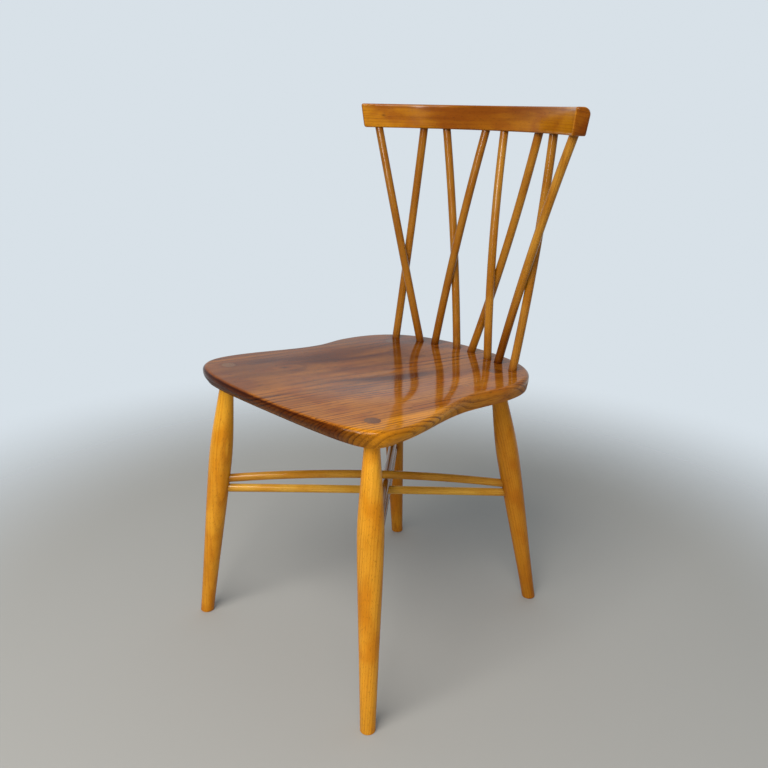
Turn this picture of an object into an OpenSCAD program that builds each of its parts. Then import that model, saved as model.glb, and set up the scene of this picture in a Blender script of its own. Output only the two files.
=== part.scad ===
// Spindle-back side chair: a shaped seat on four splayed turned legs, two pairs of bowed
// stretcher rods crossing under it, and a lattice of crossed spindles under a curved crest rail.
// Lengths are millimetres.  X is across the chair, Y runs from its front to its back, Z is up.
// Inside the modules Y is counted from the seat's front edge.

/* [Seat] */
// Height of the seat's top surface at its front edge
seat_front_h = 441; // [425:1:455]
// Fall of the seat towards the back, in degrees
seat_tilt = 2.3; // [0:0.1:4]
// Length of the seat from front edge to back edge
seat_d = 467; // [450:1:480]
// Full width of the seat at its widest, just behind the front corners
seat_w = 408; // [390:1:425]
// Full width of the seat at its waist
waist_w = 343; // [330:1:360]
// Full width of the seat at its hips, behind the waist
hip_w = 358; // [345:1:370]
// Thickness of the slab
seat_t = 26; // [24:0.5:32]
// Depth of the hollow sunk into the top
dish_depth = 8; // [2:0.5:9]
// How far the rounding of the top edge reaches in from the outline
edge_round = 6; // [4:0.5:10]

/* [Legs] */
// Sideways and lengthways place of a front foot
front_foot = [196.6, 21]; // [100:0.1:250]
// Sideways and lengthways place of a front leg's top
front_head = [157.2, 60]; // [100:0.1:250]
// Sideways and lengthways place of a rear foot
rear_foot = [161.8, 453]; // [100:0.1:500]
// Sideways and lengthways place of a rear leg's top
rear_head = [114.8, 374]; // [100:0.1:500]
// Diameter of a leg at the foot
foot_dia = 22; // [20:0.5:25]
// Diameter of a leg at its belly
belly_dia = 36.6; // [34:0.1:39]
// Height of the belly along the leg
belly_at = 285; // [270:1:300]
// Diameter of the tenon that goes through the seat
tenon_dia = 22; // [20:0.5:24]

/* [Stretchers] */
// Diameter of a stretcher rod
rod_dia = 13.5; // [12:0.5:14]
// Height of each pair of rods at the front legs
rod_front_z = 238; // [225:1:250]
// Height of each pair of rods at the rear legs
rod_rear_z = 216.5; // [210:0.5:235]
// Height between the two rods of a pair where they enter a leg
rod_pair_gap = 15.8; // [15:0.2:20]

/* [Back] */
// Diameter of a back spindle
spindle_dia = 13.5; // [12:0.5:14]
// Radius of the arc of holes in the seat
base_arc_r = 250; // [240:1:270]
// Sideways places of the spindle feet, from the middle outwards
base_x = [15.6, 58.8, 86.6, 128.1]; // [10:0.1:135]
// Sideways places of the spindle heads, from the middle outwards
head_x = [18.9, 92.6, 129.5, 193.8]; // [15:0.1:200]

/* [Crest rail] */
// Height of the rail's underside
rail_z = 783.4; // [760:0.2:800]
// Height of the rail
rail_h = 38.4; // [34:0.2:44]
// Thickness of the rail along its underside
rail_t = 19.6; // [18:0.2:22]
// Lean of the rail's front face, in degrees
rail_rake = 4; // [2:0.1:8]
// Radius of the rail's front edge, seen from above
rail_r = 279.7; // [270:0.1:290]
// Half of the angle that the rail turns through, along its underside
rail_half_turn = 47; // [45:0.5:49]
// Outward lean of the rail's two ends, in degrees
rail_end_lean = 8.5; // [0:0.5:10]

/* [Hidden] */

fit = 0.05;               // radial play of a round end in its hole
touch = 0.4;              // air left where two rods pass each other
round_fn = 96;            // facets that stand for a full circle
side_steps = [14, 8, 5, 12];  // points along the four curves of one side of the seat

// the whole chair is shifted so that its box is centred on the origin
rail_bulge = 23;          // furthest reach of the rail's back behind its front edge
rail_centre_y = 198.7;    // centre of the rail's arc, behind the seat's front edge
lip_z = -6.5;             // level of the seat's outermost line, below its top
front_y = lip_z * sin(seat_tilt);
back_y = rail_centre_y + rail_r + rail_bulge;

// the seat's hollow: an oval bowl that fades out at its rim
dish_y = 235;
dish_rx = 158;
dish_ry = 190;

// how deep the round ends go in
spindle_foot_in = 17;
spindle_head_in = 18;
rod_end_gap = 2;          // a rod stops this far short of the leg's axis

spindle_arc_in = 10.4;    // spindle heads stand this far behind the rail's front edge
base_arc_y = 185;         // centre of the arc of spindle feet

// ---------------------------------------------------------------- curves and frames

function mix(a, b, t) = a + (b - a) * t;

// one cubic curve between p[0] and p[3]
function bezier(p, t) =
    pow(1 - t, 3) * p[0] + 3 * t * pow(1 - t, 2) * p[1]
    + 3 * t * t * (1 - t) * p[2] + pow(t, 3) * p[3];

function curve(p, steps) = [for (i = [0:steps - 1]) bezier(p, i / steps)];

function mirrored(p) = [-p[0], p[1]];

// One side of the seat, from the middle of the front to the middle of the back.
// front and back are Y; widest, waist and hip are [half width, Y]; corner holds the two handle
// lengths of the front corner.
function side(front, widest, waist, hip, back, corner) = concat(
    curve([[0, front], [corner[0], front], [widest[0], widest[1] - corner[1]], widest],
        side_steps[0]),
    curve([widest, [widest[0], widest[1] + 60], [waist[0], waist[1] - 60], waist],
        side_steps[1]),
    curve([waist, [waist[0], waist[1] + 20], [hip[0], hip[1] - 20], hip],
        side_steps[2]),
    curve([hip, [hip[0], hip[1] + 100], [130, back], [0, back]], side_steps[3]),
    [[0, back]]
);

// the full closed outline from one side of it
function both_sides(half) = concat(
    half,
    [for (i = [len(half) - 2:-1:1]) mirrored(half[i])]
);

top_outline = both_sides(side(
    0, [seat_w / 2, 77], [waist_w / 2, 254], [hip_w / 2, 315], seat_d, [150, 56]
));
under_outline = both_sides(side(
    20, [seat_w / 2 - 15, 70], [waist_w / 2 - 6, 244], [hip_w / 2 - 7, 327],
    seat_d - 15, [180, 43]
));
ring_size = len(top_outline);

// an outline drawn in by d on every side
function inset(outline, d) = [
    for (p = outline)
        [p[0] * (1 - 2 * d / seat_w), dish_y + (p[1] - dish_y) * (1 - 2 * d / seat_d)]
];

function dish_fall(x, y) =
    let (q = pow(x / dish_rx, 2) + pow((y - dish_y) / dish_ry, 2))
    q < 1 ? dish_depth * pow(1 - q, 2) : 0;

function flat_ring(outline, z) = [for (p = outline) [p[0], p[1], z]];

function dished_ring(outline) = [for (p = outline) [p[0], p[1], -dish_fall(p[0], p[1])]];

// height of the seat's top plane above the floor
function seat_top_z(y) = seat_front_h - y * tan(seat_tilt);

// a point of a leg's axis at height z
function on_leg(foot, head, z) =
    let (p = mix(foot, head, z / seat_top_z(head[1])))
    [p[0], p[1], z];

function unit(v) = v / norm(v);

// places its children so that their +Z runs from a to b and their +X lies along bow
module along(a, b, bow = [1, 0, 0]) {
    w = unit(b - a);
    v = unit(cross(w, bow));
    u = cross(v, w);
    multmatrix([
        [u[0], v[0], w[0], a[0]],
        [u[1], v[1], w[1], a[1]],
        [u[2], v[2], w[2], a[2]],
        [0, 0, 0, 1]
    ])
        children();
}

// a round bar of radius r from a to b whose middle stands out by sag towards bow
module bowed_bar(a, b, r, bow, sag) {
    span = norm(b - a);
    bend_r = (span * span / 4 + sag * sag) / (2 * sag);
    half_turn = asin(span / 2 / bend_r);
    along(a, b, bow)
        translate([sag - bend_r, 0, span / 2])
            rotate([90, 0, 0])
                rotate([0, 0, -half_turn])
                    rotate_extrude(angle = 2 * half_turn, $fn = 720)
                        translate([bend_r, 0])
                            circle(r = r, $fn = 32);
}

// moves a chair built from the seat's front edge onto the origin
module placed() {
    translate([0, -(front_y + back_y) / 2, 0])
        children();
}

// the side of the seat's top plane where the seat is; children are cut flush with the top
module flush_with_seat() {
    intersection() {
        children();
        translate([0, 0, seat_front_h])
            rotate([-seat_tilt, 0, 0])
                translate([-300, -100, -500])
                    cube([600, 700, 500]);
    }
}

// ---------------------------------------------------------------- seat

// Rings from the underside, round the edge and in over the hollow.
seat_rings = concat(
    [
        flat_ring(inset(under_outline, 2), -seat_t),
        flat_ring(under_outline, -seat_t + 1.5),
        flat_ring(mix(top_outline, under_outline, 0.4), -seat_t + 9.5),
        flat_ring(mix(top_outline, under_outline, 0.06), -seat_t + 14),
        flat_ring(top_outline, lip_z),
        flat_ring(inset(top_outline, 0.1 * edge_round), -3.5),
        flat_ring(inset(top_outline, 0.34 * edge_round), -1.5),
        flat_ring(inset(top_outline, 0.66 * edge_round), -0.4)
    ],
    [
        for (d = [edge_round, 24, 46, 70, 94, 120, 148, 176])
            dished_ring(inset(top_outline, d))
    ]
);

module seat_slab() {
    rings = len(seat_rings);
    points = concat(
        [for (ring = seat_rings) for (p = ring) p],
        [[0, dish_y, -dish_depth]]
    );
    walls = [
        for (r = [0:rings - 2])
            for (i = [0:ring_size - 1])
                let (
                    j = (i + 1) % ring_size,
                    a = r * ring_size + i,
                    b = r * ring_size + j,
                    c = b + ring_size,
                    d = a + ring_size
                )
                each [[a, b, c], [a, c, d]]
    ];
    top = [
        for (i = [0:ring_size - 1])
            [(rings - 1) * ring_size + i,
                (rings - 1) * ring_size + (i + 1) % ring_size, rings * ring_size]
    ];
    underside = [[for (i = [0:ring_size - 1]) i]];
    // faces are listed anticlockwise from outside, and OpenSCAD wants them clockwise
    polyhedron(
        points = points,
        faces = [
            for (f = concat(walls, top)) [f[0], f[2], f[1]],
            underside[0]
        ],
        convexity = 6
    );
}

module leg_hole(foot, head) {
    z = seat_top_z(head[1]);
    along([foot[0], foot[1], 0], [head[0], head[1], z])
        translate([0, 0, 330])
            cylinder(d = tenon_dia + 2 * fit, h = 200, $fn = round_fn);
}

module seat() {
    placed()
        color("#a8592f")
            difference() {
                translate([0, 0, seat_front_h])
                    rotate([-seat_tilt, 0, 0])
                        seat_slab();
                for (side = [-1, 1]) {
                    leg_hole([side * front_foot[0], front_foot[1]],
                        [side * front_head[0], front_head[1]]);
                    leg_hole([side * rear_foot[0], rear_foot[1]],
                        [side * rear_head[0], rear_head[1]]);
                }
                for (i = [0:7]) spindle_bar(i, fit);
            }
}

// ---------------------------------------------------------------- legs

neck_at = belly_at + 118;  // the taper ends here, just under the seat

// [radius, height along the leg]: foot to belly, then belly to tenon
leg_side = concat(
    curve([
        [foot_dia / 2, 0], [foot_dia / 2 + 1.5, 90],
        [belly_dia / 2, belly_at - 55], [belly_dia / 2, belly_at]
    ], 12),
    curve([
        [belly_dia / 2, belly_at], [belly_dia / 2, belly_at + 40],
        [tenon_dia / 2 + 2.2, belly_at + 85], [tenon_dia / 2, neck_at]
    ], 12)
);

module leg_turning(length) {
    rotate_extrude($fn = round_fn)
        polygon(concat(
            [[0, -4], [foot_dia / 2, -4]],
            leg_side,
            [[tenon_dia / 2, neck_at], [tenon_dia / 2, length + 5], [0, length + 5]]
        ));
}

// one leg, cut level at the floor and flush with the seat's top, with its rod holes
module leg(foot2, head2) {
    foot = [foot2[0], foot2[1], 0];
    head = [head2[0], head2[1], seat_top_z(head2[1])];
    difference() {
        flush_with_seat()
            along(foot, head)
                leg_turning(norm(head - foot));
        translate([foot[0] - 50, foot[1] - 50, -20])
            cube([100, 100, 20]);
        children();
    }
}

module leg_front_left() {
    placed()
        color("#d08b3c")
            leg([-front_foot[0], front_foot[1]], [-front_head[0], front_head[1]]) {
                rod_pair("a", fit);
            }
}

module leg_front_right() {
    placed()
        color("#d08b3c")
            leg(front_foot, front_head) {
                rod_pair("b", fit);
            }
}

module leg_rear_left() {
    placed()
        color("#d08b3c")
            leg([-rear_foot[0], rear_foot[1]], [-rear_head[0], rear_head[1]]) {
                rod_pair("b", fit);
            }
}

module leg_rear_right() {
    placed()
        color("#d08b3c")
            leg(rear_foot, rear_head) {
                rod_pair("a", fit);
            }
}

// ---------------------------------------------------------------- stretchers

// Where the four rods cross, they are stacked with a rod of the other pair between each two:
// a upper, b upper, a lower, b lower.  level is a rod's place in that stack, from the middle.
function rod_level(pair, row) =
    (rod_dia + touch) * ((row == "upper" ? 1 : -1) + (pair == "a" ? 0.5 : -0.5));

// pair "a" runs from the front left leg to the rear right one, pair "b" the other way
module stretcher(pair, row, play = 0) {
    turn = pair == "a" ? 1 : -1;
    rise = (row == "upper" ? 0.5 : -0.5) * rod_pair_gap;
    front = on_leg([-turn * front_foot[0], front_foot[1]],
        [-turn * front_head[0], front_head[1]], rod_front_z + rise);
    rear = on_leg([turn * rear_foot[0], rear_foot[1]],
        [turn * rear_head[0], rear_head[1]], rod_rear_z + rise);
    run = unit(rear - front);
    sag = rod_level(pair, row) - rise;
    bowed_bar(front + run * rod_end_gap, rear - run * rod_end_gap,
        rod_dia / 2 + play, [0, 0, sign(sag)], abs(sag));
}

module rod_pair(pair, play) {
    stretcher(pair, "upper", play);
    stretcher(pair, "lower", play);
}

module stretcher_a_upper() {
    placed() color("#c9832f") stretcher("a", "upper");
}

module stretcher_a_lower() {
    placed() color("#c9832f") stretcher("a", "lower");
}

module stretcher_b_upper() {
    placed() color("#c9832f") stretcher("b", "upper");
}

module stretcher_b_lower() {
    placed() color("#c9832f") stretcher("b", "lower");
}

// ---------------------------------------------------------------- spindles

// Foot and head of each spindle, by their places from the middle outwards.  The spindles of
// the right half are numbers 4 to 7 and those of the left half mirror them.  Each one crosses
// its neighbour: [foot place, head place, which side of its neighbour it passes on].
spindle_plan = [
    [1, 0, -1],
    [0, 1, 1],
    [3, 2, 1],
    [2, 3, -1]
];

function half_index(i) = i > 3 ? i - 4 : 3 - i;
function hand(i) = i > 3 ? 1 : -1;
function neighbour(i) = half_index(i) % 2 == 0 ? i + hand(i) : i - hand(i);

function spindle_foot(i) =
    let (
        x = base_x[spindle_plan[half_index(i)][0]],
        y = base_arc_y + sqrt(base_arc_r * base_arc_r - x * x)
    )
    [hand(i) * x, y, seat_top_z(y)];

function spindle_head(i) =
    let (
        x = head_x[spindle_plan[half_index(i)][1]],
        r = rail_r + spindle_arc_in
    )
    [hand(i) * x, rail_centre_y + sqrt(r * r - x * x), rail_z];

// direction square to a spindle and to the one that it crosses, pointing towards the back
function cross_way(i) =
    let (
        j = neighbour(i),
        n = unit(cross(spindle_head(i) - spindle_foot(i), spindle_head(j) - spindle_foot(j)))
    )
    n * sign(n[1]);

// distance from the spindle's straight line to its neighbour's, counted towards the back
function cross_gap(i) = (spindle_foot(neighbour(i)) - spindle_foot(i)) * cross_way(i);

// crossings lie off the middle of a spindle, where it stands out by this share of its sag
crossing_share = 0.93;

// a spindle with its two ends let in by the lengths above
module spindle_bar(i, play = 0) {
    run = unit(spindle_head(i) - spindle_foot(i));
    towards = spindle_plan[half_index(i)][2];
    // the pair is pushed apart until one rod clears the other
    sag = (spindle_dia + touch + towards * cross_gap(i)) / 2 / crossing_share;
    bowed_bar(
        spindle_foot(i) - run * spindle_foot_in,
        spindle_head(i) + run * spindle_head_in,
        spindle_dia / 2 + play,
        towards * cross_way(i),
        sag
    );
}

module spindle(number) {
    placed()
        color("#c88434")
            spindle_bar(number - 1);
}

// ---------------------------------------------------------------- crest rail

function arc(centre, r, from, to, steps = 6) = [
    for (i = [0:steps])
        centre + r * [cos(mix(from, to, i / steps)), sin(mix(from, to, i / steps))]
];

// Section through the rail, from its lower front edge: x is towards the back, y is up.
// The front leans, the back swells a little and rolls over into the top.
rail_lean = rail_h * tan(rail_rake);
roll_r = 10.5;
rail_section = concat(
    arc([2.9, 2.5], 2.5, 270, 180),
    arc([rail_lean + 2.6, rail_h - 3], 3, 174, 90),
    arc([rail_bulge - roll_r, rail_h - roll_r], roll_r, 90, 0, 9),
    arc([rail_t - 2, 2.5], 2.5, -14, -90)
);

// everything past the rail's end on one side, as a block with a leaning face
module rail_offcut(side) {
    rotate([0, 0, side * -rail_half_turn])
        rotate([0, side * rail_end_lean, 0])
            translate([side > 0 ? 0 : -120, 0, -100])
                cube([120, 500, 250]);
}

module crest_rail() {
    placed()
        color("#c27a35")
            difference() {
                translate([0, rail_centre_y, rail_z])
                    difference() {
                        rotate([0, 0, 90 - rail_half_turn - 4])
                            rotate_extrude(angle = 2 * rail_half_turn + 8, $fn = 240)
                                translate([rail_r, 0])
                                    polygon(rail_section);
                        rail_offcut(-1);
                        rail_offcut(1);
                    }
                for (i = [0:7]) spindle_bar(i, fit);
            }
}

seat();
leg_front_left();
leg_front_right();
leg_rear_left();
leg_rear_right();
stretcher_a_upper();
stretcher_a_lower();
stretcher_b_upper();
stretcher_b_lower();
spindle(1);  // spindle_1
spindle(2);  // spindle_2
spindle(3);  // spindle_3
spindle(4);  // spindle_4
spindle(5);  // spindle_5
spindle(6);  // spindle_6
spindle(7);  // spindle_7
spindle(8);  // spindle_8
crest_rail();
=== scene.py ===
"""A lattice-back wooden side chair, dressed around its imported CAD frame.

Every piece of the chair is rebuilt as a smooth, dense mesh on the places that the frame gives:
the seat as a loft with true holes, the legs as turnings, the spindles and stretchers as bowed
rods from one Geometry Nodes tree, and the crest rail as a bent section.  Each mesh carries its
own grain directions, which the varnished wood finishes read.

Lengths in the size classes are millimetres; meshes and the frame are in metres.
"""
import logging
import math
from dataclasses import dataclass, replace
from enum import Enum
from typing import Callable, Sequence

import bpy
import numpy as np
from mathutils import Matrix, Vector


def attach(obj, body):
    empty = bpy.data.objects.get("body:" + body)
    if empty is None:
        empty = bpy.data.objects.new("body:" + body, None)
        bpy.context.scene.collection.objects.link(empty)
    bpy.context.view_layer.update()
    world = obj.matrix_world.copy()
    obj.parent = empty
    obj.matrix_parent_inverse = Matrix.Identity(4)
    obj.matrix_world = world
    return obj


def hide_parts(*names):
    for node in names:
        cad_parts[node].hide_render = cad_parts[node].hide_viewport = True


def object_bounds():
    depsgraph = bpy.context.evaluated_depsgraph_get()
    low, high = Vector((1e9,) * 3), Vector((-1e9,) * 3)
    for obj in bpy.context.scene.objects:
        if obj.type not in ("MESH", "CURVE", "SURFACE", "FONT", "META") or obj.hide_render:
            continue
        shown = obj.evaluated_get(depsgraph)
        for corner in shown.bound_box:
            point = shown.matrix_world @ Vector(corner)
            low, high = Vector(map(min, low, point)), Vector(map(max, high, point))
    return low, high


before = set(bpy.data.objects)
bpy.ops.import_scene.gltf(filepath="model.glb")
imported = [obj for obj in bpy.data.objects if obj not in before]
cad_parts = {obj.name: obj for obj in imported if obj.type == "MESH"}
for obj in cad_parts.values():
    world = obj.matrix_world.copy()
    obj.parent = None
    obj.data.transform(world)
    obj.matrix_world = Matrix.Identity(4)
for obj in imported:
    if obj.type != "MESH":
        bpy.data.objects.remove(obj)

CAD_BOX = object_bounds()
LOG = logging.getLogger("chair")
MM = 0.001
BODY = "root"
GRAIN = "grain"
END_GRAIN = "end_grain"
# how much lighter or darker the wood is: its own tone, with painted shade round the joints and
# painted light on the a pair of stretchers
TONE = "tone"
POLISH = "polish"

Colour = tuple[float, float, float]
Point2 = tuple[float, float]
Value = object


# ------------------------------------------------------------------------------ node graphs


class Wire:
    """An output socket that takes part in Python arithmetic as Math nodes."""

    def __init__(self, graph: "Graph", socket: bpy.types.NodeSocket) -> None:
        """Wraps one output socket of a graph."""
        self.graph = graph
        self.socket = socket

    def math(self, operation: str, *values: Value) -> "Wire":
        """Runs a Math node on this value and up to two others.

        Args:
            operation: the Math node's operation.
            values: numbers or wires for its further inputs.

        Returns:
            The node's result.
        """
        return self.graph.math(operation, self, *values)

    def __add__(self, other: Value) -> "Wire":
        """self + other."""
        return self.math("ADD", other)

    __radd__ = __add__

    def __sub__(self, other: Value) -> "Wire":
        """self - other."""
        return self.math("SUBTRACT", other)

    def __rsub__(self, other: Value) -> "Wire":
        """other - self."""
        return self.graph.math("SUBTRACT", other, self)

    def __mul__(self, other: Value) -> "Wire":
        """self * other."""
        return self.math("MULTIPLY", other)

    __rmul__ = __mul__

    def __truediv__(self, other: Value) -> "Wire":
        """self / other."""
        return self.math("DIVIDE", other)

    def __rtruediv__(self, other: Value) -> "Wire":
        """other / self."""
        return self.graph.math("DIVIDE", other, self)

    def __pow__(self, other: Value) -> "Wire":
        """self ** other."""
        return self.math("POWER", other)


class Graph:
    """Builds a node tree, for shaders and for geometry alike."""

    def __init__(self, tree: bpy.types.NodeTree) -> None:
        """Starts on a tree, which keeps the nodes that it already has."""
        self.tree = tree

    def node(
        self,
        kind: str,
        settings: dict[str, Value] | None = None,
        inputs: dict[str | int, Value] | None = None,
        output: str | int = 0,
    ) -> Wire:
        """Adds one node.

        Args:
            kind: the node's type name.
            settings: attributes of the node, which are set first.
            inputs: a value or a wire for each input, by name or index.
            output: which output to hand back.

        Returns:
            The chosen output.
        """
        node = self.tree.nodes.new(kind)
        for name, value in (settings or {}).items():
            setattr(node, name, value)
        for key, value in (inputs or {}).items():
            if isinstance(value, Wire):
                self.tree.links.new(value.socket, node.inputs[key])
            else:
                node.inputs[key].default_value = value
        return Wire(self, node.outputs[output])

    def math(self, operation: str, *values: Value) -> Wire:
        """Adds a Math node on numbers and wires."""
        return self.node("ShaderNodeMath", {"operation": operation}, dict(enumerate(values)))

    def measure(self, operation: str, *values: Value) -> Wire:
        """Adds a Vector Math node that makes one number of its vectors."""
        return self.node(
            "ShaderNodeVectorMath", {"operation": operation}, dict(enumerate(values)), "Value"
        )

    def join(self, x: Value, y: Value, z: Value) -> Wire:
        """Makes a vector from three values."""
        return self.node("ShaderNodeCombineXYZ", {}, {0: x, 1: y, 2: z})

    def split(self, vector: Wire) -> tuple[Wire, Wire, Wire]:
        """Takes a vector apart into its three values."""
        first = self.node("ShaderNodeSeparateXYZ", {}, {0: vector})
        return tuple(Wire(self, output) for output in first.socket.node.outputs)

    def attribute(self, name: str, output: str = "Fac") -> Wire:
        """Reads one of the mesh's own attributes."""
        return self.node("ShaderNodeAttribute", {"attribute_name": name}, output=output)

    def noise(self, place: Wire, detail: float = 2.0, roughness: float = 0.5) -> Wire:
        """Adds a noise texture.

        Args:
            place: where it is looked up, in cells of the noise.
            detail: how many finer layers it has.
            roughness: how strong the finer layers are.

        Returns:
            Its value, about 0.5 on average.
        """
        return self.node(
            "ShaderNodeTexNoise",
            {"noise_dimensions": "3D"},
            {"Vector": place, "Scale": 1.0, "Detail": detail, "Roughness": roughness},
        )

    def ease(self, value: Wire, low: float, high: float, to: Point2 = (0.0, 1.0)) -> Wire:
        """Maps low..high smoothly onto to, and holds it beyond."""
        return self.node(
            "ShaderNodeMapRange",
            {"interpolation_type": "SMOOTHSTEP"},
            {0: value, 1: low, 2: high, 3: to[0], 4: to[1]},
        )

    def blend(self, share: Value, first: Value, second: Value, way: str = "MIX") -> Wire:
        """Mixes two colours by a share, with a Mix node."""
        return self.node(
            "ShaderNodeMix",
            {"data_type": "RGBA", "blend_type": way},
            {0: share, 6: solid(first), 7: solid(second)},
            2,
        )


def solid(colour: Value) -> Value:
    """Gives a plain colour its fourth number; a wire passes as it is."""
    return colour if isinstance(colour, Wire) else (*colour, 1.0)


# ------------------------------------------------------------------------------ wood finishes

# how fast each pattern changes across the grain and along it, in cells for each mm
WANDER_RATE = (0.009, 0.0024)
RIPPLE_RATE = (0.05, 0.014)
PATCH_RATE = (0.021, 0.011)
WARMTH_RATE = (0.03, 0.017)
FINE_FIBRE_RATE = (1.1, 0.020)
BROAD_FIBRE_RATE = (0.26, 0.006)
BAND_STRETCH = 0.09         # a band's rate along the grain, as a share of its rate across

# the values at which each pattern begins to show and shows in full
WARMTH_SHOWS = (0.40, 0.66)
BAND_SHOWS = (0.44, 0.72)
FLECK_SHOWS = (0.61, 0.72)
END_SHOWS = (0.40, 0.95)
STRONG_RING = (0.34, 0.66)
LINE_RISES = (0.40, 0.92)   # the dark line's slow start within a ring, and its sharp end
LINE_FALLS = (1.0, 0.94)

# the detail and the roughness of the patterns that aren't soft ones
RAGGED = (3.0, 0.6)
FIBROUS = (2.0, 0.6)

RIPPLE_SHARE = 0.3          # the rings' small waves, as a share of their wander
WANDER_IN_DEPTH = 0.6       # how far the rings wander in the other direction, likewise
RING_UNEVENNESS = (0.06, 2.4)       # how often the rings' spacing changes, and by how many rings
RING_STRENGTH_RATE = (0.09, 0.006)
FAINTEST_RING = 0.15        # what a weak ring keeps of its line
FLECKS_IN_LINES = 0.06      # how much likelier a fleck is in a dark line
FINE_SHARE, BROAD_SHARE = 0.4, 0.6  # what fine and broad fibres make up of the whole
BAND_FRAY = (0.75, 0.5)     # how strong a band is where fibres are weak, and what they add
HEART_SHADE = 0.3           # a knot's heart, as a share of the dark lines' colour
SAP_BLUR = 8.0              # half the breadth of the change to the sapwood, mm
WARMTH_SHIFT = 300.0        # keeps the warm patches off the light and dark ones, mm
# where the tone darkens the wood, as its own colour does and as the painted shade at the joints
# does, it also reddens it
RED_POWER, GREEN_POWER, BLUE_POWER = 1.0, 1.45, 2.1


@dataclass(frozen=True)
class Knot:
    """A small knot: its place across and along the grain, its size and its pull, in mm."""

    across: float
    along: float
    size: float
    pull: float
    stretch: float = 2.2                # how much longer than broad it is
    ring_hold: float = 0.35             # how soon the rings round it are true again
    heart_hold: float = 2.2             # how small its dark heart is
    heart_depth: float = 0.75


@dataclass(frozen=True)
class Streak:
    """A long dark streak: its place, its half breadth and half length in mm, and its depth."""

    across: float
    along: float
    breadth: float
    length: float
    depth: float
    slant: float = 0.0      # how far it drifts across for each mm along


@dataclass(frozen=True)
class Gloss:
    """The varnish: how blurred its reflections are, where it is polished and where it isn't."""

    roughness: float
    dull: float             # how much rougher it is where it was left unpolished
    coat: float             # strength of the sharp reflection of the last coat
    coat_roughness: float
    relief: float           # depth of the open grain under the varnish, 0 to 1
    index: float            # refractive index of the finish under the last coat
    coat_index: float = 1.45
    fibre_blur: float = 0.10            # how much the fibres vary the roughness
    fleck_blur: float = 0.06            # how much rougher it is at the flecks
    fibre_height: float = 0.5           # shares of the relief that each part of the grain takes
    line_depth: float = 0.25
    fleck_depth: float = 0.6
    grain_depth: float = 0.0002         # the full relief, in metres


@dataclass(frozen=True)
class BoardPlace:
    """Where the shaded point lies in its board, in mm: two places across the grain, one along."""

    graph: Graph
    across: Wire
    depth: Wire
    along: Wire

    @staticmethod
    def read(graph: Graph) -> "BoardPlace":
        """Reads the place from the grain attribute."""
        axes = graph.split(graph.attribute(GRAIN, "Vector"))
        return BoardPlace(graph, *(axis * (1.0 / MM) for axis in axes))

    def moved(self, shift: Value) -> "BoardPlace":
        """The place that lies this far across the grain from here, in mm."""
        return replace(self, across=self.across + shift)

    def noise(self, rate: Point2, detail: float = 2.0, roughness: float = 0.5) -> Wire:
        """Looks up noise that is drawn out along the grain.

        Args:
            rate: cells for each mm across the grain and along it.
            detail: how many finer layers it has.
            roughness: how strong the finer layers are.

        Returns:
            Its value, about 0.5 on average.
        """
        wide, long = rate
        cell = self.graph.join(self.across * wide, self.depth * wide, self.along * long)
        return self.graph.noise(cell, detail, roughness)


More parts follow.
